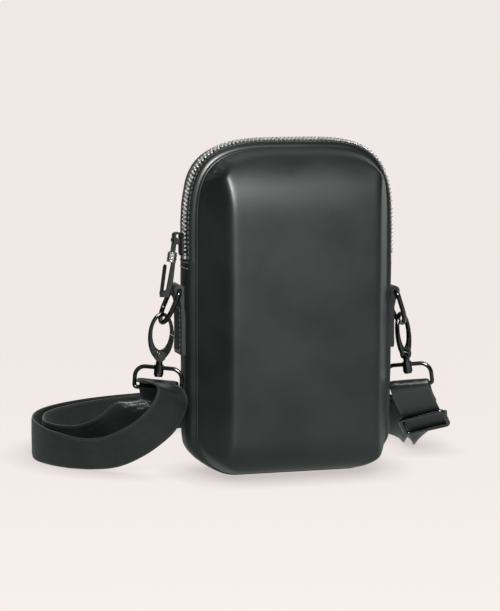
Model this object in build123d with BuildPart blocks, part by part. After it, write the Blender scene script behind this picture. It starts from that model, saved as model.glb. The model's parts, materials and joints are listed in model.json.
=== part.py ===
"""Sling bag: a small upright leather pouch with a zip round its top, and a webbing strap on two snap hooks.

Units are millimetres. The origin is the centre of the base, on the floor, at half the depth of the gusset.
+Z is up, the padded front faces -Y, and +X is on the right of someone looking at the front.
"""

from build123d import *
import os
from math import cos, radians, sin

os.makedirs("parts", exist_ok=True)

# ---- driving dimensions of the bag
seam_width = 122.0
seam_height = 200.0
seam_lift = 1.0  # the seams sit this far above the floor
gusset_depth = 34.0
shoulder_start = 140.0  # height where the straight sides start to close in to the rounded top
shoulder_power = 4.0  # the top is half a superellipse of this power: squarer than a half circle
bottom_radius = 25.0
side_bulge = 5.5  # how far the gusset stands out past the seams
front_rise = 28.0  # how far the padded front stands out from its seam
front_inset = 13.5  # how far its side creases lie inside the seam
back_rise = 4.0
leather = 1.6
welt_width = 2.0
padding = 2.4  # foam behind the padded front
lining_thickness = 0.5
lining_back_y = 12.3
back_foam_thickness = 4.0
back_layers_inset = 4.0
gap = 0.05  # between pieces that touch

# ---- zip
zip_y = -7.0
zip_end = 134.0
tooth_pitch = 2.5
zip_half_opening = 3.5

# ---- strap hardware
webbing_width = 25.0
webbing_thickness = 1.4
ring_wire = 1.5
ring_drop = 22.0  # from the ring's pivot to the middle of its bottom wire
ring_half_width = 11.0
tab_width = 18.0
tab_bottom = 75.0
pivot_x = 70.0
pivot_z_left = 115.0
pivot_z_right = 110.0
ring_lean_left = 24.0  # degrees outwards from straight down
ring_lean_right = 18.0
hook_lean_left = 4.0  # degrees clockwise, seen from the front
hook_lean_right = -8.0
hook_spin_right = 40.0  # degrees about the hook's own swivel post
d_ring_turn_left = -28.0  # the same, for the D-rings
d_ring_turn_right = -32.0

# ---- worked out from those
seam_y = gusset_depth / 2
gusset_edge = seam_y - welt_width
seam_top = seam_lift + seam_height
crest = seam_width / 2 + side_bulge
base_drop = seam_lift + 0.3  # lets the floor plane trim a true flat under the gusset
running = 0.06  # radial clearance of pins in their holes


def finish(part, name):
    """Labels a finished piece and writes it."""
    part.label = name
    export_step(part, "parts/" + name + ".step")


def face_at(y):
    """The upright plane at depth y, with X across and Z up."""
    return Plane.XZ.offset(-y)


def shoulder_points(grow):
    """Points over the bag's top from right to left, standing out past the seam line by grow."""
    points = []
    for angle in range(0, 181, 9):
        across = cos(radians(angle))
        up = sin(radians(angle))
        reach = (abs(across) ** shoulder_power + up**shoulder_power) ** (-1 / shoulder_power)
        half = seam_width / 2 + grow
        rise = seam_top - shoulder_start + grow
        points.append((half * reach * across, shoulder_start + rise * reach * up))
    return points


def outline(y, grow_sides, grow_base):
    """The bag's outline at depth y, standing out past the seam line by the two amounts."""
    low = seam_lift - grow_base
    half = seam_width / 2 + grow_sides
    radius = bottom_radius + grow_sides
    with BuildSketch(face_at(y)) as section:
        with BuildLine():
            Spline(*shoulder_points(grow_sides), tangents=((0, 1), (0, -1)))
            Line((-half, shoulder_start), (-half, low + radius))
            CenterArc((radius - half, low + radius), radius, 180, 90)
            Line((radius - half, low), (half - radius, low))
            CenterArc((half - radius, low + radius), radius, 270, 90)
            Line((half, low + radius), (half, shoulder_start))
        make_face()
    return section.sketch


# Share of the bulge at each depth: nothing at the seams, full at the zip.
gusset_fullness = [
    (-gusset_edge, 0.0, 0.0),
    (-11.5, 0.8, 1.0),
    (zip_y, 1.0, 1.0),
    (4.0, 0.87, 1.0),
    (11.5, 0.55, 1.0),
    (gusset_edge, 0.0, 0.0),
]


def gusset_form(inset):
    """The whole barrel that the gusset wraps, this far inside its outer skin."""
    with BuildPart() as form:
        loft(
            [
                outline(y, side_bulge * side_share - inset, base_drop * base_share - inset)
                for y, side_share, base_share in gusset_fullness
            ]
        )
    return form.part


def gusset_skin(outer_inset, inner_inset, y_low, y_high, z_low, z_high):
    """A sheet between two insets of the gusset, cut to a range of depth and height."""
    with BuildPart() as skin:
        add(gusset_form(outer_inset))
        add(gusset_form(inner_inset), mode=Mode.SUBTRACT)
        with Locations((0, (y_low + y_high) / 2, (z_low + z_high) / 2)):
            Box(2 * seam_width, y_high - y_low, z_high - z_low, mode=Mode.INTERSECT)
    return skin.part


def pillow_form(inset):
    """The padded front as a solid: curved from base to top, with a flat facet down each side."""
    root = -seam_y - gap
    rise = front_rise - inset
    low = seam_lift + inset
    high = seam_top - inset
    base_curve = 24.0
    top_curve = 34.0
    half = seam_width / 2 - inset
    with BuildPart() as form:
        with BuildSketch(Plane.YZ):
            with BuildLine():
                EllipticalCenterArc((root, low + base_curve), rise, base_curve, 180, arc_size=90)
                ThreePointArc(
                    (root - rise, low + base_curve),
                    (root - rise - 1.0, (low + high) / 2),
                    (root - rise, high - top_curve),
                )
                EllipticalCenterArc((root, high - top_curve), rise, top_curve, 90, arc_size=90)
                Line((root, high), (root, low))
            make_face()
        extrude(amount=half, both=True)
        extrude(outline(root, -inset, -inset), amount=2 * front_rise, mode=Mode.INTERSECT)
        with BuildSketch(Plane.XY):
            with BuildLine():
                Polyline(
                    (-half, root),
                    (half, root),
                    (half - 1.2 * front_inset, root - 1.2 * front_rise),
                    (-half + 1.2 * front_inset, root - 1.2 * front_rise),
                    close=True,
                )
            make_face()
        extrude(amount=seam_top + seam_lift, mode=Mode.INTERSECT)
    return form.part


def pillow_skin(outer_inset, inner_inset):
    """A sheet of the padded front between two insets."""
    with BuildPart() as skin:
        add(pillow_form(outer_inset))
        add(pillow_form(inner_inset), mode=Mode.SUBTRACT)
    return skin.part


def flat_panel(y_low, y_high, inset):
    """A flat sheet with the bag's outline."""
    with BuildPart() as panel:
        extrude(outline(y_high, -inset, -inset), amount=y_high - y_low)
    return panel


# ---- leather shell
front_leather = 2.0
front_lining_inset = front_leather + padding + 0.1
finish(pillow_skin(0.0, front_leather), "front_panel")
finish(pillow_skin(front_leather + gap, front_leather + padding), "front_foam")
finish(pillow_skin(front_lining_inset, front_lining_inset + lining_thickness), "lining_front")

back_panel = flat_panel(seam_y + gap, seam_y + back_rise, 0.0)
with BuildPart() as back_cover:
    add(back_panel.part)
    fillet(back_cover.faces().sort_by(Axis.Y)[-1].edges(), 2.5)
finish(back_cover.part, "back_panel")

lining_back_end = lining_back_y + lining_thickness
back_foam_y = lining_back_end + 0.1
finish(flat_panel(back_foam_y, back_foam_y + back_foam_thickness, back_layers_inset).part, "back_foam")
finish(flat_panel(lining_back_y, lining_back_end, back_layers_inset).part, "lining_back")


def welt(side):
    """The leather-covered cord in one seam; side is -1 at the front and 1 at the back."""
    middle = side * (seam_y - welt_width / 2)
    thickness = welt_width - 2 * gap
    with BuildPart() as cord:
        extrude(outline(middle + thickness / 2, 0.6, 0.0), amount=thickness)
        extrude(outline(middle + thickness / 2, -1.6, -1.6), amount=thickness, mode=Mode.SUBTRACT)
    return cord.part


finish(welt(-1), "front_welt")
finish(welt(1), "back_welt")

above_everything = seam_top + 20
finish(
    gusset_skin(0, leather, -gusset_edge, gusset_edge, 0, zip_end - gap),
    "lower_gusset",
)
finish(
    gusset_skin(0, leather, -gusset_edge, zip_y - zip_half_opening, zip_end, above_everything),
    "front_zip_strip",
)
finish(
    gusset_skin(0, leather, zip_y + zip_half_opening, gusset_edge, zip_end, above_everything),
    "rear_zip_strip",
)

# ---- lining, with the mouth of the bag left open under the zip
mouth = 7.0
side_lining_inset = 3.4
side_lining_back = lining_back_y - 0.1
with BuildPart() as lining_sides:
    add(
        gusset_skin(
            side_lining_inset,
            side_lining_inset + lining_thickness,
            -gusset_edge,
            side_lining_back,
            -10,
            above_everything,
        )
    )
    with Locations((0, zip_y, zip_end + 100)):
        Box(2 * seam_width, 2 * mouth, 200, mode=Mode.SUBTRACT)
finish(lining_sides.part, "lining_sides")

with BuildPart() as base_board:
    with Locations((0, 0, 2.5)):
        Box(68, 20, 0.7)
    fillet(base_board.edges().filter_by(Axis.Z), 4)
finish(base_board.part, "base_board")

pocket_thickness = 0.6
with BuildPart() as inner_pocket:
    with BuildSketch(face_at(side_lining_back)):
        with Locations((0, 75)):
            RectangleRounded(88, 90, 5)
    extrude(amount=pocket_thickness)
finish(inner_pocket.part, "inner_pocket")

# ---- zip: two tapes, two rows of teeth, end stops, slider and pull
tape_outer = leather + 0.1
tape_inner = tape_outer + 0.6
tape_edge = 1.6
tape_reach = 9.0 - zip_half_opening + 2.5
finish(
    gusset_skin(tape_outer, tape_inner, zip_y - tape_reach, zip_y - tape_edge, zip_end, above_everything),
    "front_zip_tape",
)
finish(
    gusset_skin(tape_outer, tape_inner, zip_y + tape_edge, zip_y + tape_reach, zip_end, above_everything),
    "rear_zip_tape",
)

with BuildLine(face_at(zip_y)) as zip_line:
    Line((-crest, zip_end), (-crest, shoulder_start))
    Spline(*shoulder_points(side_bulge)[::-1])
    Line((crest, shoulder_start), (crest, zip_end))
zip_path = zip_line.wire()
zip_length = zip_path.length


def zip_planes(first, pitch):
    """Planes along the zip, x along it and z straight out of the bag."""
    planes = []
    distance = first
    while distance < zip_length - 3.0:
        share = distance / zip_length
        along = zip_path % share
        outward = Vector(-along.Z, 0, along.X)
        planes.append(Plane(origin=zip_path @ share, x_dir=along, z_dir=outward))
        distance += pitch
    return planes


def teeth(side, first):
    """One row of teeth; side is -1 for the front row and 1 for the rear row."""
    tooth_inner = 0.45  # leaves a lane down the middle for the slider's neck
    tooth_outer = 2.4
    tooth_length = 1.3
    tooth_height = 3.0
    with BuildPart() as row:
        for plane in zip_planes(first, tooth_pitch):
            # the plane's y axis points to -Y or +Y, so the row's side is set in world terms
            across = side * (tooth_inner + tooth_outer) / 2 * (1 if plane.y_dir.Y > 0 else -1)
            with Locations(plane.location * Location((0, across, -0.6))):
                Box(tooth_length, tooth_outer - tooth_inner, tooth_height)
    return row.part


finish(teeth(-1, 4.0), "front_zip_teeth")
finish(teeth(1, 4.0 + tooth_pitch / 2), "rear_zip_teeth")

with BuildPart() as zip_stops:
    for x in (-crest, crest):
        for side in (-1, 1):
            with Locations((x + 0.4 * (1 if x < 0 else -1), zip_y + side * 1.5, zip_end + 1.2)):
                Box(2.2, 2.1, 1.8)
finish(zip_stops.part, "zip_stops")

slider_bottom = zip_end + 2.4
slider_top = slider_bottom + 14.0
slider_middle = (slider_bottom + slider_top) / 2
plate_outer = crest + 2.6
plate_inner = crest - 4.0
plate_thickness = 1.4
plate_width = 8.4
neck_thickness = 0.7
cheek_thickness = 0.8
bail_x = -crest - 6.0
bail_z = slider_top - 4.6
pin_radius = 0.8
with BuildPart() as slider:
    with Locations((-plate_outer + plate_thickness / 2, zip_y, slider_middle)):
        Box(plate_thickness, plate_width, slider_top - slider_bottom)
    with Locations((-plate_inner - plate_thickness / 2 + 1.4, zip_y, slider_middle)):
        Box(plate_thickness, plate_width, slider_top - slider_bottom)
    fillet(slider.edges().filter_by(Axis.X), 2.4)
    with Locations((-(plate_outer + plate_inner) / 2 + 0.7, zip_y, slider_bottom + 1.4)):
        Box(plate_outer - plate_inner + 1.0, neck_thickness, 2.6)
    for side in (-1, 1):
        with BuildSketch(face_at(zip_y + side * 2.0 + cheek_thickness / 2)):
            with Locations((-plate_outer - 1.9, slider_top - 3.4)):
                RectangleRounded(5.2, 7.4, 2.0)
            with Locations((-plate_outer - 1.6, slider_top - 2.4)):
                RectangleRounded(2.6, 3.0, 1.0, mode=Mode.SUBTRACT)
        extrude(amount=cheek_thickness)
    with Locations(Location((bail_x, zip_y, bail_z), (90, 0, 0))):
        Cylinder(pin_radius, 4.8)
finish(slider.part, "zip_slider")

# The pull hangs from the slider's pin and leans out past the bag's side.
pull_lean = 9.0
pull_frame_plane = Plane(
    origin=(bail_x, zip_y, bail_z),
    x_dir=(cos(radians(pull_lean)), 0, -sin(radians(pull_lean))),
    z_dir=(0, -1, 0),
)
pull_gate_pivot = (-2.6, -33.0)
pull_thickness = 2.4
gate_slot_width = 1.32
gate_thickness = 1.2
gate_pin_radius = 0.7
collar_top = -7.4
collar_height = 6.0
shank_width = 3.2
foot_shape = [
    (0.2, -13.6),
    (2.4, -13.6),
    (2.8, -26.0),
    (1.6, -35.0),
    (-3.6, -35.6),
    (-4.4, -32.5),
    (-0.4, -30.6),
]
with BuildPart() as pull_frame:
    with BuildSketch(pull_frame_plane.offset(pull_thickness / 2)):
        Circle(2.1)
        with Locations((0, -4.6)):
            Rectangle(2.6, 6.6)
        with Locations((0, collar_top - collar_height / 2)):
            Rectangle(shank_width, collar_height + 0.6)
        with BuildLine():
            Polyline(*foot_shape, close=True)
        make_face()
        Circle(pin_radius + running, mode=Mode.SUBTRACT)
    extrude(amount=-pull_thickness)
    with BuildSketch(pull_frame_plane.offset(gate_slot_width / 2)):
        with Locations(pull_gate_pivot):
            Circle(2.5)
        with Locations((-2.8, -29.0)):
            Rectangle(4.0, 8.0)
    extrude(amount=-gate_slot_width, mode=Mode.SUBTRACT)
    with BuildSketch(pull_frame_plane.offset(2)):
        with Locations(pull_gate_pivot):
            Circle(gate_pin_radius)
    extrude(amount=-4, mode=Mode.SUBTRACT)
finish(pull_frame.part, "pull_frame")

with BuildPart() as pull_collar:
    collar_plane = Plane(
        origin=pull_frame_plane.from_local_coords((0, collar_top, 0)),
        z_dir=-pull_frame_plane.y_dir,
    )
    with BuildSketch(collar_plane):
        Circle(3.0)
    extrude(amount=collar_height)
    for groove in (1, 3, 5):
        with BuildSketch(collar_plane.offset(groove * collar_height / 6 - 0.4)):
            Circle(3.2)
            Circle(2.6, mode=Mode.SUBTRACT)
        extrude(amount=0.8, mode=Mode.SUBTRACT)
    with BuildSketch(pull_frame_plane.offset(pull_thickness / 2 + gap)):
        with Locations((0, collar_top - collar_height / 2)):
            Rectangle(shank_width + 2 * gap, collar_height + 4)
    extrude(amount=-pull_thickness - 2 * gap, mode=Mode.SUBTRACT)
finish(pull_collar.part, "pull_collar")

with BuildPart() as pull_gate:
    with BuildSketch(pull_frame_plane.offset(gate_thickness / 2)):
        with Locations(pull_gate_pivot):
            Circle(1.7)
        with BuildLine():
            Polyline((-4.2, -33.0), (-4.6, -16.6), (-3.8, -15.2), (-2.5, -16.0), (-2.2, -31.0), close=True)
        make_face()
        with Locations(pull_gate_pivot):
            Circle(gate_pin_radius, mode=Mode.SUBTRACT)
    extrude(amount=-gate_thickness)
finish(pull_gate.part, "pull_gate")

with BuildPart() as pull_rivet:
    for side in (-1, 1):
        with BuildSketch(pull_frame_plane.offset(side * (pull_thickness / 2 + gap))):
            with Locations(pull_gate_pivot):
                Circle(1.3)
        extrude(amount=side * 0.5)
    with BuildSketch(pull_frame_plane.offset(1.3)):
        with Locations(pull_gate_pivot):
            Circle(gate_pin_radius - running)
    extrude(amount=-2.6)
finish(pull_rivet.part, "pull_rivet")


# ---- the two leather tabs and their rings
def anchor_tab(side, pivot_z):
    """A leather tab sewn to the gusset, with a loop at its top for the ring; side is -1 or 1."""
    outer = crest + 3.0
    top = pivot_z + 2.0
    with BuildPart() as tab:
        with Locations((side * (outer + 50.0) / 2, 0, (tab_bottom + top) / 2)):
            Box(outer - 50.0, tab_width, top - tab_bottom)
        with Locations(Location((side * pivot_x, 0, pivot_z), (90, 0, 0))):
            Cylinder(3.3, 14.6)
        with Locations(Location((side * pivot_x, 0, pivot_z), (90, 0, 0))):
            Cylinder(ring_wire + running, 40, mode=Mode.SUBTRACT)
        for end in (-1, 1):
            with Locations((side * (pivot_x + 1), end * (7.3 + 4), pivot_z)):
                Box(10, 8, 14, mode=Mode.SUBTRACT)
        add(gusset_form(-gap), mode=Mode.SUBTRACT)
    return tab.part


finish(anchor_tab(-1, pivot_z_left), "left_anchor_tab")
finish(anchor_tab(1, pivot_z_right), "right_anchor_tab")


def wire_loop(plane, half_width, top, bottom, upper_radius, lower_radius, wire):
    """A closed ring of round wire in a plane: a straight top and bottom, and rounded corners."""
    with BuildPart() as loop:
        with BuildLine(plane) as path:
            Line((0, top), (half_width - upper_radius, top))
            CenterArc((half_width - upper_radius, top - upper_radius), upper_radius, 90, -90)
            Line((half_width, top - upper_radius), (half_width, bottom + lower_radius))
            CenterArc((half_width - lower_radius, bottom + lower_radius), lower_radius, 0, -90)
            Line((half_width - lower_radius, bottom), (lower_radius - half_width, bottom))
            CenterArc((lower_radius - half_width, bottom + lower_radius), lower_radius, -90, -90)
            Line((-half_width, bottom + lower_radius), (-half_width, top - upper_radius))
            CenterArc((upper_radius - half_width, top - upper_radius), upper_radius, 180, -90)
            Line((upper_radius - half_width, top), (0, top))
        with BuildSketch(Plane(origin=path.wire() @ 0, z_dir=path.wire() % 0)):
            Circle(wire)
        sweep(path=path.wire())
    return loop.part


def strap_ring(side, pivot_z, lean):
    """The ring in a tab's loop, hanging outwards by its lean."""
    down = Vector(side * sin(radians(lean)), 0, -cos(radians(lean)))
    plane = Plane(
        origin=(side * pivot_x, 0, pivot_z), x_dir=(0, 1, 0), z_dir=Vector(0, 1, 0).cross(-down)
    )
    return wire_loop(plane, ring_half_width, 0, -ring_drop, 3.0, 10.5, ring_wire)


finish(strap_ring(-1, pivot_z_left, ring_lean_left), "left_ring")
finish(strap_ring(1, pivot_z_right, ring_lean_right), "right_ring")

# ---- snap hooks: the origin of each is its rivet, with the bow above and the swivel post below
bow_top = 27.0
collar_high = -5.4
collar_low = -11.8
bar_z = -20.3
post_radius = 1.5
stem_top = -1.5
rivet_radius = 1.2
bow_thickness = 2.8
fork_width = 2.16
hook_gate_thickness = 2.0


def ring_bottom(side, pivot_z, lean):
    """Where the middle of a ring's bottom wire is."""
    return (
        side * (pivot_x + ring_drop * sin(radians(lean))),
        pivot_z - ring_drop * cos(radians(lean)),
    )


def hook_origin(side, pivot_z, lean, hook_lean, reach, shift):
    """The rivet's place, so that the ring's bottom wire lies inside the top of the bow."""
    x, z = ring_bottom(side, pivot_z, lean)
    return (x + shift - reach * sin(radians(hook_lean)), 0, z - reach * cos(radians(hook_lean)))


left_rivet = hook_origin(-1, pivot_z_left, ring_lean_left, hook_lean_left, 21.0, 0.0)
right_rivet = hook_origin(1, pivot_z_right, ring_lean_right, hook_lean_right, 20.0, 0.4)
left_place = Location(left_rivet, (0, hook_lean_left, 0))
right_place = Location(right_rivet, (0, hook_lean_right, 0))
right_spun = right_place * Location((0, 0, 0), (0, 0, hook_spin_right))

nose_radius = 14.85  # from the rivet to the nose that the gate shuts against


def bow():
    """The open oval of the hook, thicker at its foot than at its top."""
    with BuildSketch() as oval:
        with Locations((0, 12.2)):
            Ellipse(8.0, bow_top - 12.2)
        with Locations((0, 14.2)):
            Ellipse(5.6, 10.4, mode=Mode.SUBTRACT)
    return oval.sketch


def gate_sector(radius):
    """The part of the bow that the gate fills, out to a circle round the rivet."""
    with BuildSketch() as sector:
        with BuildLine():
            Polyline((0.4, 2.6), (4.0, 1.8), (14, 2.2), (14, 16), (3.0, 16), close=True)
        make_face()
        Circle(radius, mode=Mode.INTERSECT)
    return sector.sketch


with BuildPart() as hook_body:
    with BuildSketch(face_at(-bow_thickness / 2)):
        add(bow())
        add(gate_sector(nose_radius), mode=Mode.SUBTRACT)
    extrude(amount=-bow_thickness)
    fillet(hook_body.edges().filter_by(GeomType.ELLIPSE), 0.8)
    with Locations(Location((0, 0, 0), (90, 0, 0))):
        Cylinder(3.4, 4.4)
    with Locations((0, 0, (stem_top + collar_high + gap) / 2)):
        Cylinder(2.1, stem_top - collar_high - gap)
    with Locations((0, 0, (collar_high + collar_low) / 2)):
        Cylinder(post_radius, collar_high - collar_low + 1.0)
    with Locations((0, 0, collar_low - gap - 0.5)):
        Cylinder(2.5, 1.0)
    with BuildSketch(face_at(-fork_width / 2)):
        Circle(4.2)
        with BuildLine():
            Polyline((0, 3.5), (3.5, 0), (9, 2), (9, 12), (3.0, 12.4), close=True)
        make_face()
    extrude(amount=-fork_width, mode=Mode.SUBTRACT)
    with Locations(Location((0, 0, 0), (90, 0, 0))):
        Cylinder(rivet_radius + gap, 10, mode=Mode.SUBTRACT)

with BuildPart() as hook_gate:
    with BuildSketch(face_at(-hook_gate_thickness / 2)):
        add(bow())
        add(gate_sector(nose_radius - 0.15), mode=Mode.INTERSECT)
        Circle(3.0)
        Circle(rivet_radius + running, mode=Mode.SUBTRACT)
    extrude(amount=-hook_gate_thickness)

with BuildPart() as hook_rivet:
    with Locations(Location((0, 0, 0), (90, 0, 0))):
        Cylinder(rivet_radius, 4.6)
    for side in (-1, 1):
        with Locations(Location((0, side * 2.6, 0), (90, 0, 0))):
            Cylinder(2.0, 0.7)

for piece, name in ((hook_body, "hook_body"), (hook_gate, "hook_gate"), (hook_rivet, "hook_rivet")):
    finish(left_place * piece.part, "left_" + name)
    finish(right_spun * piece.part, "right_" + name)

d_ring_wire = 1.3
d_ring_half_width = 14.9
d_ring_top = -7.2
with BuildPart() as d_ring:
    add(wire_loop(Plane.XZ, d_ring_half_width, d_ring_top, bar_z, 6.5, 1.6, d_ring_wire))
    with Locations((0, 0, (collar_high + collar_low) / 2)):
        Cylinder(3.0, collar_high - collar_low)
        Cylinder(post_radius + running, 12, mode=Mode.SUBTRACT)
left_turned = left_place * Location((0, 0, 0), (0, 0, d_ring_turn_left))
right_turned = right_place * Location((0, 0, 0), (0, 0, d_ring_turn_right))
finish(left_turned * d_ring.part, "left_d_ring")
finish(right_turned * d_ring.part, "right_d_ring")


# ---- webbing: one long strap, folded over both D-rings and laid out on the floor behind the bag
def band(edges, thickness):
    """A strip of webbing through pairs of points on its two edges."""
    pairs = [(Vector(*one), Vector(*other)) for one, other in edges]
    middles = [(one + other) / 2 for one, other in pairs]
    with BuildPart() as strip:
        sections = []
        for i, (one, other) in enumerate(pairs):
            across = (other - one).normalized()
            ahead = middles[min(i + 1, len(pairs) - 1)] - middles[max(i - 1, 0)]
            along = (ahead - across * ahead.dot(across)).normalized()
            with BuildSketch(Plane(origin=middles[i], x_dir=across, z_dir=along)) as section:
                Rectangle(webbing_width, thickness)
            sections.append(section.sketch)
        loft(sections, ruled=True)
    return strip.part


def upright(points):
    """Edge pairs of webbing that stands on its edge at these floor points."""
    return [((x, y, 0.2), (x, y, 0.2 + webbing_width)) for x, y in points]


def at_bar(place, side, forward, up):
    """Edge pair of webbing lying along a D-ring's bar, offset forwards and upwards from the bar's middle."""
    half = -side * webbing_width / 2
    ends = [place * Location((x, -forward, bar_z + up)) for x in (half, -half)]
    return tuple(tuple(end.position) for end in ends)


descent_across = Vector(0.847, -0.464, 0.262).normalized()
descent_start = Vector(76, 11, 38)
descent_guess = Vector(0.38, 0.57, -0.73)
descent = (descent_guess - descent_across * descent_guess.dot(descent_across)).normalized()
descent_back = descent_across.cross(descent)


def on_descent(distance, lift):
    """Edge pair on the straight slope below the right D-ring, lifted off its back by lift."""
    edge = descent_start + descent * distance + descent_back * lift
    return (tuple(edge), tuple(edge + descent_across * webbing_width))


layer = webbing_thickness + 0.8
round_bar = d_ring_wire + 0.5 + webbing_thickness / 2
left_fold = ((-5.0, -8.0), (-3.4, -1.0), (-2.4, 3.4), (0.8, 5.2), (5.0, 4.2))
around_bar = [(cos(radians(turn)), sin(radians(turn))) for turn in (-40, 5, 50, 95, 140)]
inner_run = (
    [on_descent(32, layer + 0.4)]
    + [((94.5, 41, 7), (109, 33, 26.5)), ((99.5, 56, 0.8), (105, 52.5, 25.2))]
    + upright([(103.5, 78), (101, 96), (91, 117), (68, 137), (34, 150), (-8, 154), (-48, 150)])
    + upright([(-84, 140), (-112, 123), (-129, 105), (-137, 87)])
    + [
        ((-139, 66, 0.3), (-139.5, 64, 25.2)),
        ((-131, 50, 0.6), (-133, 47, 25.4)),
        ((-119, 35, 3), (-124, 34, 27.5)),
        ((-104, 22, 12), (-116, 20, 34)),
        ((-88, 12, 27), (-107, 13, 43.5)),
    ]
    + [at_bar(left_turned, -1, f, u) for f, u in left_fold]
)
outer_run = (
    [
        ((-69.8, -14.5, 54), (-91, -14.5, 60.5)),
        ((-67.6, -18, 47.7), (-88.0, -26, 58.7)),
        ((-69.6, -18, 40), (-90.5, -26, 50.6)),
        ((-73.6, -15, 31), (-94, -21.5, 44)),
        ((-79, -9, 23.5), (-99.5, -13.5, 36)),
        ((-89, 2, 12.5), (-106, -4, 30)),
        ((-103, 14, 3.6), (-115.5, 6.5, 24)),
        ((-117, 25, 0.6), (-126, 16, 22)),
        ((-133, 37, 0.5), (-135.5, 27.5, 23)),
        ((-142.5, 54, 0.3), (-143.5, 47, 24)),
    ]
    + upright([(-146, 71), (-143, 91), (-134, 112), (-117, 131), (-87, 149), (-50, 159), (-8, 163)])
    + upright([(36, 159), (73, 145), (98, 123), (109, 97), (110, 74)])
    + [((104.5, 50, 0.4), (112.5, 46, 23.8)), ((99, 38, 4), (116, 29, 20.5))]
    + [on_descent(distance, 0) for distance in (34, 27, 14, 2)]
    + [at_bar(right_turned, 1, round_bar * f, round_bar * u) for f, u in around_bar]
    + [on_descent(4, layer), on_descent(13, layer)]
)
finish(band(inner_run, webbing_thickness), "webbing_inner_run")
finish(band(outer_run, webbing_thickness), "webbing_outer_run")

# ---- sliding adjuster on the slope: two outer bars in front of the webbing and one bar behind it
glide_wire = 1.4
glide_bar = 1.2
glide_clearance = 0.15
glide_half_height = 7.4
glide_corner = 2.2
glide_middle = 27.0
one_edge, other_edge = [Vector(*point) for point in on_descent(glide_middle, 0)]
glide_plane = Plane(origin=(one_edge + other_edge) / 2, x_dir=descent_across, z_dir=-descent_back)
front_offset = webbing_thickness / 2 + glide_clearance + glide_wire
bar_depth = -(webbing_thickness / 2 + glide_clearance + glide_bar)
half_glide = webbing_width / 2 + 0.5 + glide_wire
with BuildPart() as tri_glide:
    add(
        wire_loop(
            glide_plane.offset(front_offset),
            half_glide,
            glide_half_height,
            -glide_half_height,
            glide_corner,
            glide_corner,
            glide_wire,
        )
    )
    with Locations(glide_plane.location * Location((0, 0, bar_depth), (0, 90, 0))):
        Cylinder(glide_bar, 2 * half_glide)
    for side in (-1, 1):
        post = Location((side * half_glide, 0, (front_offset + bar_depth) / 2))
        with Locations(glide_plane.location * post):
            Cylinder(glide_bar, front_offset - bar_depth + 2.0)
finish(tri_glide.part, "tri_glide")
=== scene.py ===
import bisect
import json
import math

import bpy
from mathutils import Matrix, Vector, kdtree, noise


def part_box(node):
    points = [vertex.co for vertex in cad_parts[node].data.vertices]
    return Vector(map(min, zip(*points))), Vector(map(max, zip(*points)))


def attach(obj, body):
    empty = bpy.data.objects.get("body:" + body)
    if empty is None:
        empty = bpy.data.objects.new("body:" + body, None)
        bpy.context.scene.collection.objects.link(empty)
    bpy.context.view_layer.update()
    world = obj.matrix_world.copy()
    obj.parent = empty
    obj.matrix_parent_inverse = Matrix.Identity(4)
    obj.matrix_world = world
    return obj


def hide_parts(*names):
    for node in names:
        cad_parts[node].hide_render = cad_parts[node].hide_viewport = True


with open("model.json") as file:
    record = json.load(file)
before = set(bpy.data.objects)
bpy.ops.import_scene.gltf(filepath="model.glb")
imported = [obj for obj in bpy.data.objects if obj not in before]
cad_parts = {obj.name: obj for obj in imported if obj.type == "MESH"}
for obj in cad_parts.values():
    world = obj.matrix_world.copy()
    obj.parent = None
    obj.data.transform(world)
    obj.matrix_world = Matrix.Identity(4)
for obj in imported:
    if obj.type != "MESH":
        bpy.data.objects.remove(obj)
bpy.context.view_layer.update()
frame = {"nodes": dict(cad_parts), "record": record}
nodes = frame["nodes"]
MM = 0.001

# ---- the bag's dimensions, in millimetres, as the frame has them
seam_width = 122.0
seam_height = 200.0
seam_lift = 1.0
seam_y = 17.0
gusset_edge = 15.0
shoulder_start = 140.0
shoulder_power = 4.0
bottom_radius = 25.0
side_bulge = 5.5
base_drop = 1.25
front_rise = -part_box("front_panel")[0].y / MM - seam_y - 1.0
back_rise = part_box("back_panel")[1].y / MM - seam_y
front_inset = 13.5
zip_y = -7.0
zip_end = 134.0
zip_half_opening = 3.3
tooth_pitch = 2.5
seam_top = seam_lift + seam_height
crest = seam_width / 2 + side_bulge


# ---- materials
def new_material(name):
    """A node material with its Principled shader, ready for more nodes."""
    material = bpy.data.materials.new(name)
    material.use_nodes = True
    tree = material.node_tree
    shader = tree.nodes["Principled BSDF"]
    return material, tree, shader


def add_node(tree, kind, inputs=None, **settings):
    """Adds a shader node, with its settings and input values or links."""
    node = tree.nodes.new(kind)
    for key, value in settings.items():
        setattr(node, key, value)
    for key, value in (inputs or {}).items():
        if isinstance(value, bpy.types.NodeSocket):
            tree.links.new(value, node.inputs[key])
        else:
            node.inputs[key].default_value = value
    return node


def ramp(tree, source, low, high, from_low=0.0, from_high=1.0):
    """Maps a value range onto another, clamped."""
    node = add_node(
        tree,
        "ShaderNodeMapRange",
        {"Value": source, "From Min": from_low, "From Max": from_high, "To Min": low, "To Max": high},
    )
    return node.outputs["Result"]


def maths(tree, operation, first, second=0.0):
    """One maths node."""
    node = add_node(tree, "ShaderNodeMath", {0: first, 1: second}, operation=operation)
    return node.outputs[0]


def mix_colour(tree, factor, first, second):
    """Mixes two colours by a factor."""
    node = add_node(tree, "ShaderNodeMix", {"Factor": factor}, data_type="RGBA")
    for socket, value in ((node.inputs[6], first), (node.inputs[7], second)):
        if isinstance(value, bpy.types.NodeSocket):
            tree.links.new(value, socket)
        else:
            socket.default_value = (*value, 1.0)
    return node.outputs[2]


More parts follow.
